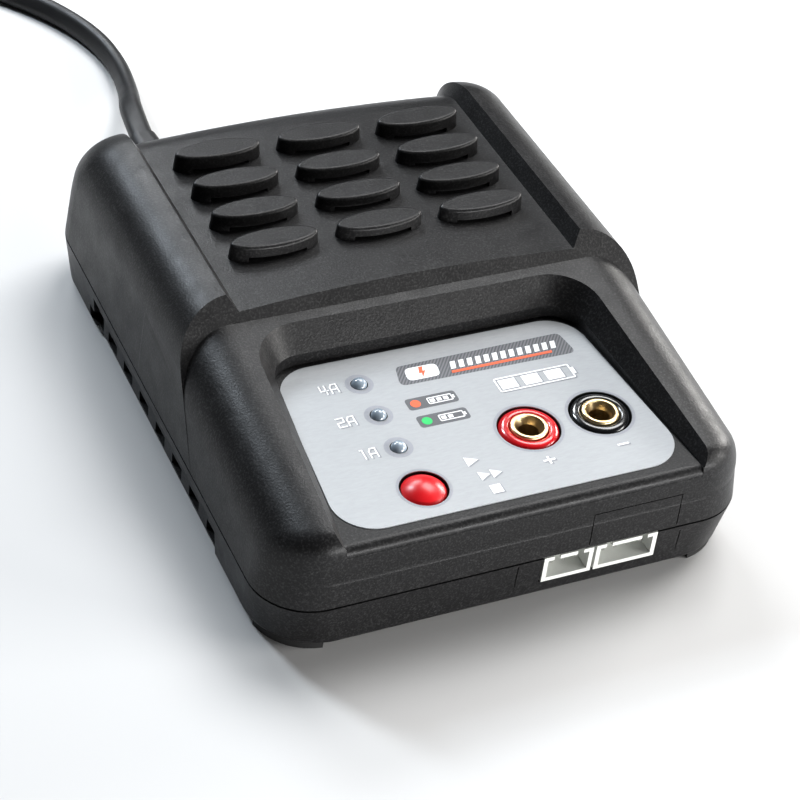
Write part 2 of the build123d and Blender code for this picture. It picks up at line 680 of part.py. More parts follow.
def make_header(cx, width, ways):
    """A shrouded balance header, mouth to the front, with its two keying slots."""
    z0, z1 = HEADER_Z
    y0, y1 = HEADER_Y
    half = width / 2
    wall = HEADER_WALL
    shroud = box(cx - half, cx + half, y0, y1, z0, z1)
    shroud -= box(cx - half + wall, cx + half - wall, y0 - 1, y1 - 2.2, z0 + wall, z1 - wall)
    for side in (-1, 1):
        x = cx + side * (half - 2.6)
        shroud -= box(x - 0.6, x + 0.6, y0 - 1, y1 - 2.2, z1 - 2 * wall, z1 + 1)
    shroud -= [box(x - PIN_W / 2, x + PIN_W / 2, y0, y1 + 1, *pin_rows()) for x in header_pins(cx, ways)]
    return shroud


def pin_rows():
    """Low and high z of the header pins."""
    middle = (HEADER_Z[0] + HEADER_Z[1]) / 2
    return middle - PIN_W / 2, middle + PIN_W / 2


def make_header_pins(cx, ways):
    gap = 0.02
    z0, z1 = pin_rows()
    pins = []
    for x in header_pins(cx, ways):
        half = PIN_W / 2 - gap
        pins.append(box(x - half, x + half, HEADER_Y[0] + 1.6, HEADER_Y[1], z0 + gap, z1 - gap))
    return pins


def make_header_board():
    y0 = HEADER_Y[1]
    return box(2.0, 30.0, y0, y0 + HEADER_BOARD_T, BASE_TOP + 0.2, 12.6)


# ---------------------------------------------------------------- electronics
def make_insulating_sheet():
    sheet = box(-28.0, 28.0, -48.0, 48.0, BASE_TOP, BASE_TOP + 0.3)
    return sheet - [rod(x, y, 3, 5, 2.8) for x, y in BOARD_POSTS]


def make_main_board():
    board = box(-BOARD_X, BOARD_X, -BOARD_Y, BOARD_Y, *BOARD_Z)
    return board - [rod(x, y, 5, 9, 1.1) for x, y in BOARD_POSTS]


def make_board_screws():
    screws = []
    for x, y in BOARD_POSTS:
        screw = rod(x, y, BOARD_Z[1], BOARD_Z[1] + 1.6, 2.0) + rod(x, y, 4.5, BOARD_Z[1], 1.0)
        screws.append(screw - cross_slot(x, y, BOARD_Z[1] + 0.9, BOARD_Z[1] + 2, 2.2))
    return screws


def make_panel_board():
    board = box(-30.0, 1.0, -56.0, -16.5, *PANEL_BOARD_Z)
    return board - [rod(x, y, 10, 15, 0.9) for x, y in PANEL_POSTS]


def make_panel_screws():
    screws = []
    top = PANEL_BOARD_Z[0]
    for x, y in PANEL_POSTS:
        screw = rod(x, y, top - 1.4, top, 1.8) + rod(x, y, top, top + 7.5, 0.8)
        screws.append(screw - cross_slot(x, y, top - 1.5, top - 0.8, 2.0))
    return screws


def make_transformer_core():
    """Two E cores, drawn as one frame round the bobbin."""
    z = BOARD_Z[1]
    frame = box(6, 32, 6, 34, z + 4, z + 18)
    windows = [box(10.5, 27.5, y0, y1, z + 3, z + 19) for y0, y1 in ((11, 17.5), (22.5, 29))]
    return frame - windows


def make_bobbin():
    z = BOARD_Z[1]
    x0, x1 = 10.9, 27.1
    tube = box(x0, x1, 11.3, 28.7, z + 1.0, z + 21)
    tube -= box(x0 - 1, x1 + 1, 17.2, 22.8, z + 3.7, z + 18.3)
    tube -= box(x0 - 1, x0 + 1.4, 0, 40, z + 3.6, z + 18.4)
    tube -= box(x1 - 1.4, x1 + 1, 0, 40, z + 3.6, z + 18.4)
    pins = [box(x - 0.4, x + 0.4, y - 0.4, y + 0.4, z, z + 1.0) for x in (13, 19, 25) for y in (12.5, 27.5)]
    return tube + pins


def upright_can(x, y, radius, height):
    """An electrolytic capacitor standing on the board."""
    z = BOARD_Z[1]
    can = rod(x, y, z, z + height, radius)
    can = fillet(can.edges().group_by(Axis.Z)[-1], 0.6)
    score = box(x - radius * 0.6, x + radius * 0.6, y - 0.2, y + 0.2, z + height - 0.3, z + height + 1)
    return can - score


def heat_sink(x, y0, y1, height, side):
    """A finned aluminium bar standing on the board, its fins towards "side"."""
    z = BOARD_Z[1]
    plate = box(x - SINK_T / 2, x + SINK_T / 2, y0, y1, z, z + height)
    x0, x1 = sorted((x + side * (SINK_T / 2 - 0.1), x + side * SINK_FIN_REACH))
    fins = []
    for i in range(int((y1 - y0) // SINK_FIN_PITCH)):
        y = y0 + 1.0 + i * SINK_FIN_PITCH
        fins.append(box(x0, x1, y - SINK_FIN_T / 2, y + SINK_FIN_T / 2, z + 3, z + height))
    return plate + fins


def tab_device(x, y, side):
    """A power transistor or diode, standing against a heat sink on its "side"."""
    z = BOARD_Z[1]
    x0, x1 = sorted((x + side * SINK_T / 2, x + side * 5.2))
    body = box(x0, x1, y - 5, y + 5, z + 3.5, z + 12.5)
    mid = (x0 + x1) / 2
    legs = [box(mid - 0.4, mid + 0.4, y + dy - 0.5, y + dy + 0.5, z, z + 3.5) for dy in (-2.54, 0, 2.54)]
    return body + legs


def make_choke():
    """A toroidal mains choke standing on edge."""
    x, y = CHOKE_PLACE
    ring = Cylinder(CHOKE_R, CHOKE_T) - Cylinder(CHOKE_HOLE_R, CHOKE_T + 2)
    return Pos(x, y, BOARD_Z[1] + CHOKE_R) * Rot(90, 0, 0) * ring


def make_chip(x, y, w, d, h, legs):
    """A dual in-line chip with its legs."""
    z = BOARD_Z[1]
    body = box(x - w / 2, x + w / 2, y - d / 2, y + d / 2, z + 0.5, z + 0.5 + h)
    pins = []
    for i in range(legs):
        py = y + (i - (legs - 1) / 2) * 1.27
        for side in (-1, 1):
            x0, x1 = sorted((x + side * (w / 2 - 0.05), x + side * (w / 2 + 0.9)))
            pins.append(box(x0, x1, py - 0.2, py + 0.2, z, z + 0.9))
    return body + pins


def make_link_header():
    """The pin strip that joins the main board to the panel board."""
    z0, z1 = BOARD_Z[1], PANEL_BOARD_Z[0]
    strip = box(-14.0, -3.0, -24.3, -21.7, z0, z0 + 2.5)
    pins = [box(x - 0.3, x + 0.3, -23.3, -22.7, z0 + 2.4, z1) for x in (-12.75, -10.2, -7.65, -5.1)]
    return strip + pins


def make_balance_resistors():
    """A row of chip resistors beside the balance headers."""
    z = BOARD_Z[1]
    return [box(4 + 3.4 * i, 6 + 3.4 * i, -34, -30.8, z, z + 0.6) for i in range(7)]


def make_fuse():
    z = BOARD_Z[1] + 3.0
    x, y = FUSE_PLACE
    glass = Pos(x, y, z) * Rot(90, 0, 0) * Cylinder(2.6, 20)
    cap_ys = (y - 8.5, y + 8.5)
    caps = [Pos(x, cap_y, z) * Rot(90, 0, 0) * Cylinder(2.9, 5) for cap_y in cap_ys]
    feet = [box(x - 0.7, x + 0.7, cap_y - 1.5, cap_y + 1.5, BOARD_Z[1], z - 2.4) for cap_y in cap_ys]
    return glass + caps + feet


def make_mains_terminal():
    z = BOARD_Z[1]
    block = box(-28.5, -14.0, 43.5, TERMINAL_Y, z, z + 9.0)
    block -= [rod(x, 45.8, z + 5.5, z + 10, 1.6) for x in (-25.5, -17.7)]
    return block


def make_mains_wires():
    wires = []
    length = RELIEF_FLANGE_Y[0] - TERMINAL_Y
    for x in (CORD_ROUTE[0][0] - 1.4, CORD_ROUTE[0][0] + 1.4):
        wires.append(Pos(x, TERMINAL_Y + length / 2, CORD_Z) * Rot(90, 0, 0) * Cylinder(1.1, length))
    return wires


# ---------------------------------------------------------------- cord, coil and plug
def flat_section(width, thickness):
    """A flat cord's outline: two half rounds joined by straights."""
    return SlotOverall(width, thickness)


def make_relief():
    """The moulded strain relief: a plug in the back wall and a ribbed, tapering tail."""
    x = CORD_ROUTE[0][0]
    w, h = RELIEF_ROOT
    y0, y1 = RELIEF_FLANGE_Y
    root = box(x - w / 2, x + w / 2, y1, 61.6, CORD_Z - h / 2, CORD_Z + h / 2)
    inner = box(x - w / 2 - 0.9, x + w / 2 + 0.9, y0, y1, CORD_Z - h / 2 - 0.9, CORD_Z + h / 2 + 0.9)
    start = Plane(origin=(x, 61.6, CORD_Z), x_dir=(1, 0, 0), z_dir=(0, 1, 0))
    end = Plane(origin=(x, RELIEF_END_Y, CORD_Z), x_dir=(1, 0, 0), z_dir=(0, 1, 0))
    tail = loft([start * flat_section(*RELIEF_ROOT), end * flat_section(*RELIEF_TIP)])
    ribs = []
    for i in range(4):
        y = 64.5 + 3.6 * i
        share = (y - 61.6) / (RELIEF_END_Y - 61.6)
        half_w = RELIEF_ROOT[0] / 2 + share * (RELIEF_TIP[0] - RELIEF_ROOT[0]) / 2
        for side in (-1, 1):
            x0, x1 = sorted((x + side * (half_w - 1.0), x + side * (half_w + 1)))
            ribs.append(box(x0, x1, y, y + 1.2, 0, 20))
    return root + inner + (tail - ribs)


def route_radii(route):
    """The largest tangent arc that each corner of a route takes."""
    radii = []
    for before, here, after in zip(route, route[1:], route[2:]):
        run_in = Vector(*here) - Vector(*before)
        run_out = Vector(*after) - Vector(*here)
        turn = math.radians(run_in.get_angle(run_out))
        radii.append(0.45 * min(run_in.length, run_out.length) / math.tan(turn / 2))
    return radii


def cord_tube(name, route):
    """A flat tube along a route of straight runs and tangent arcs, kept level across its width."""
    radii = route_radii(route)
    path = FilletPolyline(*route, radius=radii)
    along = Vector(*route[1]) - Vector(*route[0])
    across = along.cross(Vector(0, 0, 1))
    plane = Plane(origin=route[0], x_dir=across, z_dir=along)
    tube = sweep(plane * flat_section(CORD_W, CORD_T), path=path)
    area = flat_section(CORD_W, CORD_T).area
    print(name, "radii", [round(r, 1) for r in radii], "length", round(path.length, 1),
          "volume", round(tube.volume, 1), "section x length", round(area * path.length, 1))
    return tube


def make_coil():
    ring = Cylinder(COIL_OUTER_R, COIL_H) - Cylinder(COIL_INNER_R, COIL_H + 2)
    return Pos(COIL_CENTRE[0], COIL_CENTRE[1], COIL_H / 2 + 0.05) * ring


def at_plug(shape):
    """Move a shape made at the origin, pins towards the front, to where the plug lies."""
    x, y, z = TAIL_ROUTE[-1]
    return Pos(x, y, z) * Rot(0, 0, PLUG_TURN) * shape


def make_plug_body():
    half = PLUG_W / 2
    tail = PLUG_TAIL_W / 2
    outline = Polyline(
        (tail, 0), (tail, -6), (half, -20), (half, -PLUG_L), (-half, -PLUG_L),
        (-half, -20), (-tail, -6), (-tail, 0), close=True
    )
    body = Pos(0, 0, -PLUG_T / 2 + 0.02) * extrude(make_face(outline), amount=PLUG_T - 0.04)
    return at_plug(fillet(body.edges().filter_by(Axis.Z), 2.0))


def make_plug_pins():
    pins = []
    for side in (-1, 1):
        x = side * PLUG_PIN_SPACING / 2
        pin = Pos(x, -PLUG_L - PLUG_PIN_L / 2, 0) * Rot(90, 0, 0) * Cylinder(PLUG_PIN_R, PLUG_PIN_L)
        pins.append(at_plug(pin))
    return pins


# ---------------------------------------------------------------- every node
def main():
    os.makedirs("parts", exist_ok=True)
    save("upper_shell", make_upper_shell())
    save("lower_shell", make_lower_shell())
    save("rubber_feet", *make_feet())
    save("housing_screws", *make_housing_screws())
    half_x, half_y = PLATE_HALF
    save("rating_plate", box(-half_x, half_x, -half_y, half_y, BASE_Z, BASE_Z + PLATE_T))
    save("control_label", make_label())
    for name, y in zip(("led_low", "led_mid", "led_high"), LED_YS):
        save(name, make_led(y))
    save("led_leads", *make_led_leads())
    save("button_cap", make_button())
    save("switch_body", make_switch_body())
    save("switch_plunger", make_plunger())
    save("switch_spring", make_spring())
    for name, place in SOCKETS.items():
        save(f"socket_collar_{name}", make_socket_collar(*place))
        save(f"socket_contact_{name}", make_socket_contact(*place))
    save("socket_nuts", *[make_socket_nut(*place) for place in SOCKETS.values()])
    save("socket_lugs", *[make_socket_lug(*place) for place in SOCKETS.values()])
    for name, (cx, width, ways) in HEADERS.items():
        save(f"header_shroud_{name}", make_header(cx, width, ways))
        save(f"header_pins_{name}", *make_header_pins(cx, ways))
    save("header_board", make_header_board())
    save("main_board", make_main_board())
    save("board_screws", *make_board_screws())
    save("panel_board", make_panel_board())
    save("panel_screws", *make_panel_screws())
    save("insulating_sheet", make_insulating_sheet())
    save("transformer_core", make_transformer_core())
    save("transformer_bobbin", make_bobbin())
    save("bulk_capacitor", upright_can(*BULK_CAPACITOR))
    save("output_capacitors", *[upright_can(*can) for can in OUTPUT_CAPACITORS])
    save("heat_sink_primary", heat_sink(*PRIMARY_SINK))
    save("power_transistor", tab_device(PRIMARY_SINK[0], 1.0, 1))
    save("heat_sink_output", heat_sink(*OUTPUT_SINK))
    save("rectifier_diode", tab_device(OUTPUT_SINK[0], -6.0, -1))
    save("bridge_rectifier", box(*BRIDGE, BOARD_Z[1], BOARD_Z[1] + BRIDGE_H))
    save("mains_choke", make_choke())
    save("film_capacitor", box(*FILM_CAPACITOR, BOARD_Z[1], BOARD_Z[1] + FILM_CAPACITOR_H))
    save("fuse", make_fuse())
    save("controller_chip", make_chip(*CONTROLLER))
    save("balance_chip", make_chip(*BALANCE_CHIP))
    save("balance_resistors", *make_balance_resistors())
    save("link_header", make_link_header())
    save("mains_terminal", make_mains_terminal())
    save("mains_wires", *make_mains_wires())
    save("strain_relief", make_relief())
    save("cord", cord_tube("cord", CORD_ROUTE))
    save("cord_tail", cord_tube("cord_tail", TAIL_ROUTE))
    save("cord_coil", make_coil())
    save("plug_body", make_plug_body())
    save("plug_pins", *make_plug_pins())


if __name__ == "__main__":
    main()
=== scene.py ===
import math

import bmesh
import bpy
from mathutils import Matrix, Vector


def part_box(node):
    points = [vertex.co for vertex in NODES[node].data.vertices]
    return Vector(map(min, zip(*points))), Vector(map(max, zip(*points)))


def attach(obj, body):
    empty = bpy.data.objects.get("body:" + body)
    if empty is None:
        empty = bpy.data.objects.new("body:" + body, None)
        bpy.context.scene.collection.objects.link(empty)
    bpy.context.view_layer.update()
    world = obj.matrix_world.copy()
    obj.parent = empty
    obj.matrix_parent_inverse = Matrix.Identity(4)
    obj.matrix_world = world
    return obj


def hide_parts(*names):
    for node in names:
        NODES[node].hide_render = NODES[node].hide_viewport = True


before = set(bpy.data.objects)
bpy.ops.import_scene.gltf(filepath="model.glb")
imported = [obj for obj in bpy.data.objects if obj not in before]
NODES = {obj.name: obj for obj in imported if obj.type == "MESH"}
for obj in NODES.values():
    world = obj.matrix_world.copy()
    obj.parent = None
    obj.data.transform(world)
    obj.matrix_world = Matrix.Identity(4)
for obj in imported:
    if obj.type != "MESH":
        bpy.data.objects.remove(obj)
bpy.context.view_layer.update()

MM = 0.001
SCENE = bpy.context.scene


# ---------------------------------------------------------------- camera

AZIMUTH = math.radians(28.598)
ELEVATION = math.radians(40.205)
ROLL = math.radians(7.635)
DISTANCE = 0.471205
TARGET = Vector((0.002326, -0.004223, 0.0015))
LENS = 109.03


def add_camera():
    """A camera that looks along AZIMUTH and ELEVATION at TARGET, turned by ROLL."""
    look = Vector((math.sin(AZIMUTH) * math.cos(ELEVATION),
                   math.cos(AZIMUTH) * math.cos(ELEVATION),
                   -math.sin(ELEVATION)))
    level = Vector((math.cos(AZIMUTH), -math.sin(AZIMUTH), 0))
    above = level.cross(look)
    right = math.cos(ROLL) * level + math.sin(ROLL) * above
    up = math.cos(ROLL) * above - math.sin(ROLL) * level
    data = bpy.data.cameras.new("camera")
    data.lens = LENS
    data.sensor_width = 36
    data.clip_start = 0.01
    data.clip_end = 20
    camera = bpy.data.objects.new("camera", data)
    SCENE.collection.objects.link(camera)
    turn = Matrix((right, up, -look)).transposed().to_4x4()
    camera.matrix_world = Matrix.Translation(TARGET - DISTANCE * look) @ turn
    SCENE.camera = camera


# ---------------------------------------------------------------- materials

class Graph:
    """A material's node tree, with short calls for the nodes used here."""

    def __init__(self, name):
        self.material = bpy.data.materials.new(name)
        self.material.use_nodes = True
        self.tree = self.material.node_tree
        self.tree.nodes.clear()
        self.shader = self.add("ShaderNodeBsdfPrincipled")
        out = self.add("ShaderNodeOutputMaterial")
        self.link(self.shader, "BSDF", out, "Surface")
        self.place = self.add("ShaderNodeTexCoord")

    def add(self, kind):
        return self.tree.nodes.new(kind)

    def link(self, a, out, b, into):
        self.tree.links.new(a.outputs[out], b.inputs[into])

    def noise(self, scale, detail=2.0, rough=0.5, stretch=(1, 1, 1)):
        """Noise in the object's own coordinates, drawn out where stretch is low."""
        mapping = self.add("ShaderNodeMapping")
        mapping.inputs["Scale"].default_value = stretch
        self.link(self.place, "Object", mapping, "Vector")
        texture = self.add("ShaderNodeTexNoise")
        texture.inputs["Scale"].default_value = scale
        texture.inputs["Detail"].default_value = detail
        texture.inputs["Roughness"].default_value = rough
        self.link(mapping, "Vector", texture, "Vector")
        return texture

    def ramp(self, source, stops):
        """A colour by a texture's value, between the stops given."""
        node = self.add("ShaderNodeValToRGB")
        elements = node.color_ramp.elements
        while len(elements) < len(stops):
            elements.new(0.5)
        for element, (at, colour) in zip(elements, stops):
            element.position = at
            element.color = (*colour, 1)
        self.link(source, "Fac", node, "Fac")
        return node

    def spread(self, source, low, high):
        """A map of a texture's value onto low to high."""
        span = self.add("ShaderNodeMapRange")
        span.inputs["From Min"].default_value = 0.3
        span.inputs["From Max"].default_value = 0.7
        span.inputs["To Min"].default_value = low
        span.inputs["To Max"].default_value = high
        self.link(source, "Fac", span, "Value")
        return span

    def bump(self, source, strength, distance):
        node = self.add("ShaderNodeBump")
        node.inputs["Strength"].default_value = strength
        node.inputs["Distance"].default_value = distance
        self.link(source, "Fac", node, "Height")
        return node

    def set(self, **values):
        """Constants on the shader's own sockets, with _ for each space in a socket's name."""
        for name, value in values.items():
            self.shader.inputs[name.replace("_", " ")].default_value = value


def shade(colour, factor):
    """A colour made lighter or darker."""
    return tuple(min(1.0, c * factor) for c in colour)


def moulded(name, colour, rough, grain=2600.0, depth=0.02, mottle=0.12, glint_fleck=0.0, **values):
    """Moulded plastic, rubber or film: fine grain, slight mottling, uneven gloss, and, when asked,
    light specks in the grain that are partly painted glints.
    """
    g = Graph(name)
    cloud = g.noise(70.0, 3.0)
    tint = g.ramp(cloud, [(0.3, shade(colour, 1 - mottle)), (0.7, shade(colour, 1 + mottle))])
    fine = g.noise(grain, 2.0, 0.6)
    # light specks added to the base colour: partly the grain, partly painted glints of its sparkle
    if glint_fleck:
        glint_spots = g.ramp(fine, [(0.48, (0, 0, 0)), (0.76, (glint_fleck, glint_fleck, glint_fleck))])
        glint_flecked = g.add("ShaderNodeMix")
        glint_flecked.data_type = "RGBA"
        glint_flecked.blend_type = "ADD"
        glint_flecked.inputs["Factor"].default_value = 1.0
        g.link(tint, "Color", glint_flecked, "A")
        g.link(glint_spots, "Color", glint_flecked, "B")
        g.tree.links.new(glint_flecked.outputs[2], g.shader.inputs["Base Color"])
    else:
        g.link(tint, "Color", g.shader, "Base Color")
    g.link(g.spread(g.noise(220.0, 3.0), rough - 0.05, rough + 0.05), "Result",
           g.shader, "Roughness")
    g.link(g.bump(fine, 0.6, depth * MM), "Normal", g.shader, "Normal")
    g.set(**values)
    return g.material


def metal(name, colour, rough, stretch=(1, 1, 1), scale=900.0, depth=0.004, **values):
    """Turned, plated or brushed metal, with marks drawn out along one direction."""
    g = Graph(name)
    marks = g.noise(scale, 3.0, 0.6, stretch)
    tint = g.ramp(marks, [(0.3, shade(colour, 0.93)), (0.7, shade(colour, 1.06))])
    g.link(tint, "Color", g.shader, "Base Color")
    g.link(g.spread(g.noise(scale * 0.4, 3.0, 0.5, stretch), rough - 0.05, rough + 0.06),
           "Result", g.shader, "Roughness")
    g.link(g.bump(marks, 0.5, depth * MM), "Normal", g.shader, "Normal")
    g.set(Metallic=1.0, **values)
    return g.material


def ink(name, colour, rough=0.45):
    """Printed ink, a little uneven."""
    g = Graph(name)
    grain = g.noise(1500.0, 3.0)
    tint = g.ramp(grain, [(0.25, shade(colour, 0.92)), (0.75, shade(colour, 1.05))])
    g.link(tint, "Color", g.shader, "Base Color")
    g.link(g.spread(grain, rough - 0.05, rough + 0.05), "Result", g.shader, "Roughness")
    g.link(g.bump(grain, 0.3, 0.003 * MM), "Normal", g.shader, "Normal")
    return g.material


def brushed_label():
    """Silver label film with a fine brushed grain across the panel."""
    g = Graph("label_film")
    grain = g.noise(2600.0, 3.0, 0.6, (0.22, 1, 1))
    cloud = g.noise(60.0, 2.0)
    silver = (0.335, 0.348, 0.361)
    tint = g.ramp(grain, [(0.25, shade(silver, 0.95)), (0.75, shade(silver, 1.05))])
    g.link(tint, "Color", g.shader, "Base Color")
    g.link(g.spread(cloud, 0.40, 0.48), "Result", g.shader, "Roughness")
    g.link(g.bump(grain, 0.35, 0.003 * MM), "Normal", g.shader, "Normal")
    g.set(Metallic=0.2, Specular_IOR_Level=0.35)
    return g.material


def hatched_ink():
    """Dark banner ink with fine slanted bands in two greys."""
    g = Graph("banner_ink")
    mapping = g.add("ShaderNodeMapping")
    mapping.inputs["Rotation"].default_value = (0, 0, math.radians(38))
    g.link(g.place, "Object", mapping, "Vector")
    wave = g.add("ShaderNodeTexWave")
    wave.wave_type = "BANDS"
    wave.inputs["Scale"].default_value = 560.0
    wave.inputs["Distortion"].default_value = 0.6
    g.link(mapping, "Vector", wave, "Vector")
    tint = g.ramp(wave, [(0.2, (0.075, 0.078, 0.088)), (0.8, (0.15, 0.155, 0.17))])
    g.link(tint, "Color", g.shader, "Base Color")
    g.link(g.spread(g.noise(500.0), 0.4, 0.5), "Result", g.shader, "Roughness")
    g.link(g.bump(wave, 0.2, 0.003 * MM), "Normal", g.shader, "Normal")
    return g.material


def make_materials():
    """One finish for each of the record's material slots."""
    black = (0.0100, 0.0098, 0.0104)
    return {
        # the case plastic's last 0.03 puts light specks in its grain, partly painted glints
        "case_plastic": moulded("case_plastic", black, 0.40, 2400.0, 0.07, 0.08, 0.03,
                                Specular_IOR_Level=0.27),
        "foot_rubber": moulded("foot_rubber", (0.012, 0.012, 0.012), 0.75, 1800.0, 0.05),
        "screw_steel": metal("screw_steel", (0.55, 0.55, 0.56), 0.34, (1, 1, 0.2)),
        "plate_film": moulded("plate_film", (0.5, 0.51, 0.53), 0.42, 2200.0, 0.008, 0.04),
        "label_metal": brushed_label(),
        "lamp_lens": moulded("lamp_lens", (0.25, 0.30, 0.35), 0.16, 500.0, 0.004, 0.25,
                             Coat_Weight=0.8, Coat_Roughness=0.05),
        "tinned_metal": metal("tinned_metal", (0.72, 0.72, 0.70), 0.24),
        "button_red": moulded("button_red", (0.62, 0.012, 0.018), 0.33, 900.0, 0.004, 0.06,
                              Specular_IOR_Level=0.6),
        "component_black": moulded("component_black", (0.02, 0.02, 0.021), 0.5),
        "spring_steel": metal("spring_steel", (0.6, 0.6, 0.6), 0.25),
        "collar_red": moulded("collar_red", (0.54, 0.006, 0.012), 0.27, 700.0, 0.003, 0.06,
                              Coat_Weight=0.6, Coat_Roughness=0.08),
        "collar_black": moulded("collar_black", (0.008, 0.008, 0.009), 0.24, 700.0, 0.003, 0.2,
                                Coat_Weight=0.7, Coat_Roughness=0.06),
        "contact_brass": metal("contact_brass", (0.74, 0.58, 0.34), 0.31, (0.3, 0.3, 3), depth=0.0006),
        "header_nylon": moulded("header_nylon", (0.66, 0.67, 0.645), 0.42, 1500.0, 0.012, 0.04),
        "board_laminate": moulded("board_laminate", (0.04, 0.17, 0.075), 0.4),
        "insulator_film": moulded("insulator_film", (0.1, 0.1, 0.1), 0.6),
        "ferrite": moulded("ferrite", (0.06, 0.06, 0.064), 0.6),
        "bobbin_yellow": moulded("bobbin_yellow", (0.62, 0.45, 0.07), 0.4),
        "capacitor_sleeve": moulded("capacitor_sleeve", (0.02, 0.03, 0.08), 0.3),
        "sink_aluminium": metal("sink_aluminium", (0.6, 0.6, 0.61), 0.36, (1, 0.1, 1)),
        "film_case": moulded("film_case", (0.55, 0.44, 0.06), 0.4),
        "fuse_glass": moulded("fuse_glass", (0.7, 0.75, 0.75), 0.08, 400.0, 0.002, 0.03,
                              Transmission_Weight=0.8),
        "terminal_plastic": moulded("terminal_plastic", (0.08, 0.26, 0.12), 0.4),
        "wire_jacket": moulded("wire_jacket", (0.24, 0.1, 0.05), 0.4),
        "cord_jacket": moulded("cord_jacket", (0.011, 0.0113, 0.0122), 0.48, 1400.0, 0.012),
        "plug_plastic": moulded("plug_plastic", (0.016, 0.016, 0.017), 0.42, 2200.0, 0.03),
    }


def dress_nodes(materials):
    """Gives every CAD node the finish of its slot."""
    for node in NODES.values():
        for place in node.material_slots:
            place.material = materials[place.material.name.split(".")[0]]


# ---------------------------------------------------------------- shared helpers

def add_mesh(name, verts, faces, material):
    mesh = bpy.data.meshes.new(name)
    mesh.from_pydata(verts, [], faces)
    mesh.validate()
    mesh.update()
    mesh.materials.append(material)
    piece = bpy.data.objects.new(name, mesh)
    SCENE.collection.objects.link(piece)
    return piece


def middle(node):
    """Plan position of a node's middle, in mm."""
    low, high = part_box(node)
    return (low.x + high.x) / 2 / MM, (low.y + high.y) / 2 / MM


def outline_curve(name, outlines):
    """A flat curve of closed outlines given in mm."""
    data = bpy.data.curves.new(name, "CURVE")
    data.dimensions = "2D"
    for outline in outlines:
        spline = data.splines.new("POLY")
        spline.points.add(len(outline) - 1)
        for point, (x, y) in zip(spline.points, outline):
            point.co = (x * MM, y * MM, 0, 1)
        spline.use_cyclic_u = True
    curve = bpy.data.objects.new(name, data)
    SCENE.collection.objects.link(curve)
    return curve


# ---------------------------------------------------------------- mains cord

CORD_WIDTH = 5.0
CORD_THICK = 3.2
EDGE_UP = math.radians(-62)
# x, y, z in mm and the twist of the flat section, out of the strain relief and away
RUN = (
    (-21.6, 80, 10.9, 0.0),
    (-20.3, 92, 10.3, 0.25),
    (-15.5, 106.5, 4.2, 1.0),
    (-13.3, 119.5, 2.45, 1.1),
    (-14.3, 131, 2.45, 1.0),
    (-18.6, 142.5, 2.45, 1.0),
    (-25.6, 153.5, 2.35, 0.8),
    (-34.5, 163.5, 1.9, 0.4),
    (-44.6, 172.4, 1.65, 0.0),
)
TAIL = (
    (-26, 231.5, 4.9),
    (-12.5, 231, 5.0),
    (1, 228.3, 5.5),
    (12.5, 222.5, 6.2),
    (21, 214.5, 6.85),
    (26.5, 204.5, 6.85),
)
COIL_X = -26.0
COIL_Y = 199.0
COIL_START = math.radians(235)
COIL_END = math.radians(90)
COIL_OUT = 32.5
COIL_IN = 20.0
LAYER_Z = (1.65, 4.9)
STEPS = 16               # control points in one turn
LAYER_TURNS = 2.5


def coil_points():
    """Two flat layers of turns: inward on the floor, up at the middle, outward again."""
    points = []
    pitch = (COIL_OUT - COIL_IN) / LAYER_TURNS
    down_steps = round(LAYER_TURNS * STEPS)
    hop_steps = STEPS // 2
    inner = COIL_START - (LAYER_TURNS + 0.5) * math.tau
    out_turns = ((inner - COIL_END) / math.tau) % 1.0 + 2.0
    out_steps = round(out_turns * STEPS)
    for i in range(down_steps + 1):
        share = i / STEPS
        points.append((COIL_START - share * math.tau, COIL_OUT - pitch * share, LAYER_Z[0]))
    for i in range(1, hop_steps):
        share = i / hop_steps
        angle = COIL_START - (LAYER_TURNS + 0.5 * share) * math.tau
        ease = share * share * (3 - 2 * share)
        rise = LAYER_Z[0] + (LAYER_Z[1] - LAYER_Z[0]) * ease
        points.append((angle, COIL_IN, rise))
    growth = (COIL_OUT - COIL_IN) / out_turns
    for i in range(out_steps):
        share = i * out_turns / out_steps
        points.append((inner - share * math.tau, COIL_IN + growth * share, LAYER_Z[1]))
    return [(COIL_X + r * math.cos(a), COIL_Y + r * math.sin(a), z) for a, r, z in points]


def stadium(name, width, thick, steps=8):
    """The flat cord's section: two half circles joined by straight sides."""
    r = thick / 2
    arm = (width - thick) / 2
    points = []
    for side in (1, -1):
        for i in range(steps + 1):
            a = math.pi * (i / steps - 0.5)
            points.append((side * (arm + r * math.cos(a)), side * r * math.sin(a)))
    section = outline_curve(name, [points])
    section.hide_render = True
    section.hide_viewport = True
    return section


def add_cord(material):
    """The whole cord on one smooth line: out, round its coil and on to the plug."""
    route = [(x, y, z, share * EDGE_UP) for x, y, z, share in RUN]
    route += [(*p, 0.0) for p in coil_points()]
    route += [(*p, 0.0) for p in TAIL]
    data = bpy.data.curves.new("mains_cord", "CURVE")
    data.dimensions = "3D"
    data.twist_mode = "Z_UP"
    data.resolution_u = 8
    data.bevel_mode = "OBJECT"
    data.bevel_object = stadium("cord_section", CORD_WIDTH, CORD_THICK)
    data.use_fill_caps = True
    spline = data.splines.new("NURBS")
    spline.points.add(len(route) - 1)
    for point, (x, y, z, tilt) in zip(spline.points, route):
        point.co = (x * MM, y * MM, z * MM, 1)
        point.tilt = tilt
    spline.order_u = 3
    spline.use_endpoint_u = True
    data.materials.append(material)
    piece = bpy.data.objects.new("mains_cord", data)
    SCENE.collection.objects.link(piece)
    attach(piece, "case")
    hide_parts("cord", "cord_coil", "cord_tail")
    return piece


TIE_ANGLE = math.radians(140)
TIE_WIDTH = 4.0
TIE_THICK = 0.55


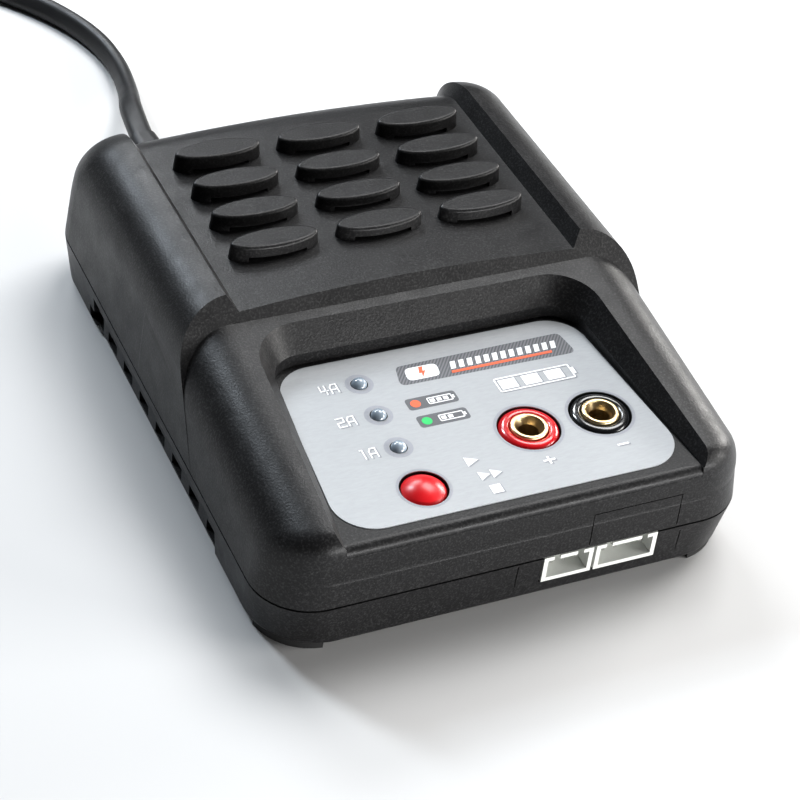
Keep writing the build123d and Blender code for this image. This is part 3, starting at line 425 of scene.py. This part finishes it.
def add_tie(material):
    """A flat tie round all the coil's turns at one place."""
    inner = COIL_IN - 3.2
    outer = COIL_OUT + 3.2
    top = LAYER_Z[1] + CORD_THICK / 2 + 0.15
    outside = [(inner - TIE_THICK, 0.0), (inner - TIE_THICK, top), (inner, top + TIE_THICK),
               (outer, top + TIE_THICK), (outer + TIE_THICK, top), (outer + TIE_THICK, 0.0)]
    inside = [(inner, 0.04), (inner, top - 0.2), (inner + 0.5, top),
              (outer - 0.5, top), (outer, top - 0.2), (outer, 0.04)]
    verts = []
    for side in (-TIE_WIDTH / 2, TIE_WIDTH / 2):
        for r, z in outside + inside:
            x = COIL_X + r * math.cos(TIE_ANGLE) - side * math.sin(TIE_ANGLE)
            y = COIL_Y + r * math.sin(TIE_ANGLE) + side * math.cos(TIE_ANGLE)
            verts.append((x * MM, y * MM, z * MM))
    n = len(outside)
    faces = []
    for i in range(n):
        j = (i + 1) % n
        faces.append((i, j, j + 2 * n, i + 2 * n))
        faces.append((n + j, n + i, n + i + 2 * n, n + j + 2 * n))
        faces.append((i, n + i, n + j, j))
        faces.append((i + 2 * n, j + 2 * n, n + j + 2 * n, n + i + 2 * n))
    piece = add_mesh("cord_tie", verts, faces, material)
    bevel = piece.modifiers.new("edge", "BEVEL")
    bevel.width = 0.12 * MM
    bevel.segments = 2
    bevel.limit_method = "ANGLE"
    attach(piece, "case")
    return piece


# ---------------------------------------------------------------- sockets

TURN_STEPS = 96
FLANGE_R = 6.9
FLANGE_TOP = 1.1
COLLAR_R = 5.75
COLLAR_BORE = 3.54
CREST_R = 4.35           # highest ring of the collar's dome
DOME_DEPTH = 1.5
MOUTH_DEPTH = 0.7
TUBE_R = 3.5
TUBE_EDGE = 0.4
LIP_R = 2.85
LIP_EDGE = 0.12
CONTACT_BORE = 2.0
COUNTERSINK = 1.5
BORE_FLOOR = 1.3


def turned(name, x, y, profile, material):
    """A turned part from its closed half section, given as radius and height."""
    n = len(profile)
    verts = []
    faces = []
    for i in range(TURN_STEPS):
        a = math.tau * i / TURN_STEPS
        j = (i + 1) % TURN_STEPS
        verts += [((x + r * math.cos(a)) * MM, (y + r * math.sin(a)) * MM, z * MM) for r, z in profile]
        for k in range(n):
            m = (k + 1) % n
            faces.append((i * n + k, j * n + k, j * n + m, i * n + m))
    piece = add_mesh(name, verts, faces, material)
    work = bmesh.new()
    work.from_mesh(piece.data)
    bmesh.ops.remove_doubles(work, verts=work.verts, dist=1e-7)
    bmesh.ops.recalc_face_normals(work, faces=work.faces)
    work.to_mesh(piece.data)
    work.free()
    piece.data.shade_smooth()
    piece.data.set_sharp_from_angle(angle=math.radians(20))
    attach(piece, "case")
    return piece


def arc(r, z, rx, rz, start, end, steps=10):
    """Points of a half section's rounding, from one angle to another."""
    angles = [math.radians(start + (end - start) * i / steps) for i in range(steps + 1)]
    return [(r + rx * math.cos(a), z + rz * math.sin(a)) for a in angles]


def add_sockets(materials):
    """Domed collars and countersunk brass contacts, smooth enough to be seen close."""
    for side, colour in (("pos", "collar_red"), ("neg", "collar_black")):
        x, y = middle(f"socket_collar_{side}")
        foot, top = (corner.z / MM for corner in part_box(f"socket_collar_{side}"))
        section = [(COLLAR_BORE, foot), (FLANGE_R, foot), (FLANGE_R, foot + FLANGE_TOP),
                   (COLLAR_R, foot + FLANGE_TOP)]
        section += arc(CREST_R, top - DOME_DEPTH, COLLAR_R - CREST_R, DOME_DEPTH, 0, 90, 14)
        section += arc(CREST_R, top - MOUTH_DEPTH, COLLAR_BORE - CREST_R, MOUTH_DEPTH, 90, 0, 6)
        collar = turned(f"collar_{side}", x, y, section, materials[colour])
        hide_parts(f"socket_collar_{side}")

        foot, top = (corner.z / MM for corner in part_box(f"socket_contact_{side}"))
        section = [(0, foot), (TUBE_R, foot)]
        section += arc(TUBE_R - TUBE_EDGE, top - TUBE_EDGE, TUBE_EDGE, TUBE_EDGE, 0, 90, 6)
        section += arc(LIP_R, top - LIP_EDGE, -LIP_EDGE, LIP_EDGE, 90, 20, 3)
        section += [(CONTACT_BORE, top - COUNTERSINK), (CONTACT_BORE, foot + BORE_FLOOR),
                    (0, foot + BORE_FLOOR)]
        contact = turned(f"contact_{side}", x, y, section, materials["contact_brass"])
        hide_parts(f"socket_contact_{side}")


# ---------------------------------------------------------------- panel print

LABEL_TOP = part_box("control_label")[1].z / MM
SHADOW_SHIFT = (0.26, -0.26)


def circle(x, y, r, steps=64):
    """A ring of points round a middle."""
    angles = [math.tau * i / steps for i in range(steps)]
    return [(x + r * math.cos(a), y + r * math.sin(a)) for a in angles]


def block(x0, y0, x1, y1):
    """A rectangle by two opposite corners."""
    return [(x0, y0), (x1, y0), (x1, y1), (x0, y1)]


def rounded(corners, r, steps=6):
    """A polygon with its corners rounded."""
    out = []
    n = len(corners)
    for i in range(n):
        p = Vector(corners[i])
        a = (Vector(corners[i - 1]) - p).normalized()
        b = (Vector(corners[(i + 1) % n]) - p).normalized()
        half = a.angle(b) / 2
        reach = r / math.tan(half)
        start = p + a * reach
        end = p + b * reach
        for k in range(steps + 1):
            t = k / steps
            point = start.lerp(p, t).lerp(p.lerp(end, t), t)
            out.append((point.x, point.y))
    return out


def shifted(outlines, by):
    """The same outlines, moved."""
    return [[(x + by[0], y + by[1]) for x, y in line] for line in outlines]


def slanted(x, y, width, height, lean):
    """A bar that leans to the right, by its lower left corner."""
    return [(x, y), (x + width, y), (x + width + lean, y + height), (x + lean, y + height)]


def stroke(points, width):
    """The outline of a line of runs with square ends and mitred corners."""
    left = []
    right = []
    for i, point in enumerate(points):
        p = Vector(point)
        a = (p - Vector(points[i - 1])).normalized() if i else None
        b = (Vector(points[i + 1]) - p).normalized() if i + 1 < len(points) else None
        a = a or b
        b = b or a
        mid = (a + b).normalized()
        side = Vector((-mid.y, mid.x)) * (width / 2 / max(0.35, mid.dot(a)))
        ends = Vector((0, 0))
        if i == 0:
            ends = -a * width / 2
        elif i + 1 == len(points):
            ends = a * width / 2
        left.append(tuple(p + side + ends))
        right.append(tuple(p - side + ends))
    return left + right[::-1]


GLYPH_W = 1.35
GLYPH_H = 2.3
STROKE = 0.27
# runs of plain stroke figures, in shares of a figure's width and height
GLYPHS = {
    "1": [[(0.66, 0), (0.66, 1), (0.36, 1)]],
    "2": [[(0.02, 1), (0.98, 1), (0.98, 0.54), (0.02, 0.46), (0.02, 0), (1, 0)]],
    "4": [[(0.04, 1), (0.04, 0.4), (1.02, 0.4)], [(0.76, 0), (0.76, 1)]],
    "A": [[(0.02, 0), (0.02, 0.72), (0.3, 1), (0.98, 1), (0.98, 0)], [(0.18, 0.4), (0.84, 0.4)]],
}


def figures(text, x, y):
    """Plain figures centred on x, y."""
    lines = []
    gap = GLYPH_W + 0.62
    left = x - (gap * (len(text) - 1) + GLYPH_W) / 2
    for i, letter in enumerate(text):
        for run in GLYPHS[letter]:
            points = [(left + gap * i + u * GLYPH_W, y + (v - 0.5) * GLYPH_H) for u, v in run]
            lines.append([stroke(points, STROKE)])
    return lines


def print_layer(name, groups, material, base=-0.05, thick=0.07):
    """Thin printed shapes on the label. Outlines in one group cut holes in each other."""
    made = []
    for i, outlines in enumerate(groups):
        shape = outline_curve(f"{name}_{i}", outlines)
        shape.data.fill_mode = "BOTH"
        shape.data.extrude = thick / 2 * MM
        shape.location.z = (LABEL_TOP + base + thick / 2) * MM
        made.append(shape)
    bpy.context.view_layer.update()
    verts = []
    faces = []
    for shape in made:
        mesh = bpy.data.meshes.new_from_object(shape)
        start = len(verts)
        verts += [tuple(shape.matrix_world @ v.co) for v in mesh.vertices]
        faces += [tuple(start + k for k in f.vertices) for f in mesh.polygons]
        bpy.data.meshes.remove(mesh)
        curve = shape.data
        bpy.data.objects.remove(shape)
        bpy.data.curves.remove(curve)
    piece = add_mesh(name, verts, faces, material)
    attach(piece, "case")
    return piece


LAMP_MARKS = (("4A", -21.7, -21.2), ("2A", -22.1, -30.3), ("1A", -21.7, -39.3))
BANNER = ((-7.6, -18.9), (26.1, -18.5), (27.0, -24.6), (-8.8, -24.1))
BADGE = ((-6.9, -23.3), (-0.4, -23.3), (0.2, -19.9), (-6.3, -19.9))
POLES = ((8.6, -50.3, "+"), (23.4, -50.4, "-"))
POLE_ARM = 0.95
POLE_STROKE = 0.42
# triangles beside the button: middle of the left side, length and half height
ARROWS = ((-6.0, -46.4, 2.4, 1.2), (-5.2, -50.5, 2.0, 1.1), (-2.9, -50.5, 2.0, 1.1))
# middle, colour of the dot and bars of the sign on each dark plate
TAGS = ((-4.9, -29.4, "orange", 3), (-4.8, -34.3, "green", 2))
TAG_SIZE = (9.9, 3.1)
INKS = {
    "white": (0.86, 0.87, 0.88),
    "shadow": (0.23, 0.24, 0.26),
    "grey": (0.27, 0.28, 0.31),
    "tag": (0.09, 0.094, 0.105),
    "orange": (0.80, 0.12, 0.035),
    "green": (0.0, 0.50, 0.12),
}
# nodes, and the inner and outer radius of the ring printed round each
RINGS = (
    (("socket_collar_pos", "socket_collar_neg"), 5.95, 6.5),
    (("button_cap",), 4.5, 5.0),
    (("led_low", "led_mid", "led_high"), 1.75, 2.65),
)


def badge_bolt(x, y, size):
    """A plain flash sign."""
    shape = [(-0.1, 1), (0.42, 1), (0.14, 0.2), (0.5, 0.2), (-0.32, -1), (-0.08, -0.12), (-0.45, -0.12)]
    return [(x + size * u, y + size * v) for u, v in shape]


def cell_sign(x, y, width, height, bars):
    """A plain battery sign lying on its side, with its charge as bars."""
    w = width / 2
    h = height / 2
    rim = min(0.32, height * 0.13)
    outside = rounded(block(x - w, y - h, x + w, y + h), rim * 1.5)
    inside = rounded(block(x - w + rim, y - h + rim, x + w - rim, y + h - rim), rim * 0.6)
    tip = x + w + 0.06
    groups = [[outside, inside], [block(tip, y - h * 0.45, tip + rim * 1.6, y + h * 0.45)]]
    pitch = (width - 4 * rim) / 3
    for i in range(bars):
        left = x - w + 2 * rim + i * pitch
        groups.append([block(left, y - h + 2 * rim, left + pitch * 0.72, y + h - 2 * rim)])
    return groups


def panel_marks():
    """The lamps' figures, the sockets' plus and minus, and the signs beside the button."""
    marks = []
    for text, x, y in LAMP_MARKS:
        marks += figures(text, x, y)
    for x, y, sign in POLES:
        marks.append([stroke([(x - POLE_ARM, y), (x + POLE_ARM, y)], POLE_STROKE)])
        if sign == "+":
            for side in (1, -1):
                ends = [(x, y + side * 0.43), (x, y + side * (POLE_ARM - 0.2))]
                marks.append([stroke(ends, POLE_STROKE)])
    for x, y, length, half in ARROWS:
        marks.append([[(x, y - half), (x + length, y), (x, y + half)]])
    marks.append([block(-4.7, -55.3, -2.6, -53.2)])
    return marks + cell_sign(16.0, -29.2, 15.5, 3.9, 3)


def add_prints():
    """Everything printed on the label, with a thin darker shadow under the larger marks."""
    inks = {name: ink(f"ink_{name}", colour) for name, colour in INKS.items()}
    marks = panel_marks()
    print_layer("print_shadows", [shifted(group, SHADOW_SHIFT) for group in marks], inks["shadow"])

    w, h = TAG_SIZE[0] / 2, TAG_SIZE[1] / 2
    plates = [[rounded(block(x - w, y - h, x + w, y + h), 0.8)] for x, y, _, _ in TAGS]
    print_layer("print_tags", plates, inks["tag"])
    print_layer("print_banner", [[rounded(BANNER, 1.3)]], hatched_ink())
    for x, y, colour, bars in TAGS:
        dot = circle(x - 3.25, y, 0.98, 40)
        print_layer(f"print_dot_{colour}", [[dot]], inks[colour], 0.02, 0.03)
        marks += cell_sign(x + 1.6, y, 4.9, 1.75, bars)

    badge = [[rounded(BADGE, 1.2)]]
    slats = [[slanted(2.2 + 1.72 * i, -22.35, 1.02, 2.0, 0.55)] for i in range(13)]
    print_layer("print_white", marks + badge + slats, inks["white"], 0.0, 0.05)
    stripe = [[slanted(1.9, -23.45, 20.6, 0.62, 0.15)]]
    print_layer("print_orange", [[badge_bolt(-3.35, -21.6, 1.5)]] + stripe, inks["orange"], 0.03, 0.04)

    rings = []
    for nodes, hole, size in RINGS:
        for node in nodes:
            x, y = middle(node)
            rings.append([circle(x, y, size), circle(x, y, hole)])
    print_layer("print_rings", rings, inks["grey"], thick=0.06)


# ---------------------------------------------------------------- studio

def add_light(name, place, aim, size, power, colour=(1, 1, 1)):
    """A soft box at one place, turned towards another."""
    data = bpy.data.lights.new(name, "AREA")
    data.shape = "RECTANGLE"
    data.size, data.size_y = size
    data.energy = power
    data.color = colour
    light = bpy.data.objects.new(name, data)
    SCENE.collection.objects.link(light)
    light.location = place
    light.rotation_euler = (Vector(aim) - Vector(place)).to_track_quat("-Z", "Y").to_euler()


def add_studio():
    """Pale floor, faint sky light and soft boxes round the object."""
    g = Graph("studio_floor")
    pale = g.ramp(g.noise(3.0, 2.0), [(0.3, (0.63, 0.63, 0.63)), (0.7, (0.65, 0.65, 0.65))])
    g.link(pale, "Color", g.shader, "Base Color")
    g.set(Roughness=0.9)
    corners = [(-3, -3, 0), (3, -3, 0), (3, 3, 0), (-3, 3, 0)]
    floor = add_mesh("floor", corners, [(0, 1, 2, 3)], g.material)
    world = bpy.data.worlds.new("studio")
    world.use_nodes = True
    background = world.node_tree.nodes["Background"]
    background.inputs["Color"].default_value = (0.93, 0.96, 1.0, 1)
    background.inputs["Strength"].default_value = 0.03
    SCENE.world = world
    add_light("key", (0.85, -0.50, 0.30), (0, 0, 0.02), (0.5, 0.35), 8.0, (1.0, 0.985, 0.96))
    add_light("side", (0.85, 0.30, 0.25), (0, 0, 0.02), (0.4, 0.3), 7.0, (1.0, 0.98, 0.95))
    add_light("top", (0.50, 0.38, 1.05), (0, 0, 0), (0.7, 0.6), 14.0)
    add_light("back_left", (-0.38, 0.76, 0.74), (0, 0, 0.02), (0.14, 0.3), 7.5, (0.84, 0.92, 1.0))
    add_light("back", (0.05, 0.95, 0.70), (0, 0, 0.02), (0.4, 0.3), 6.0, (0.94, 0.97, 1.0))
    add_light("front", (0.25, -0.80, 0.05), (0, 0, 0.02), (0.6, 0.08), 7.0)
    SCENE.view_settings.view_transform = "Standard"
    SCENE.view_settings.gamma = 0.9


add_camera()
finishes = make_materials()
cord = add_cord(finishes["cord_jacket"])
tie = add_tie(finishes["plug_plastic"])
dress_nodes(finishes)
add_sockets(finishes)
add_prints()
add_studio()
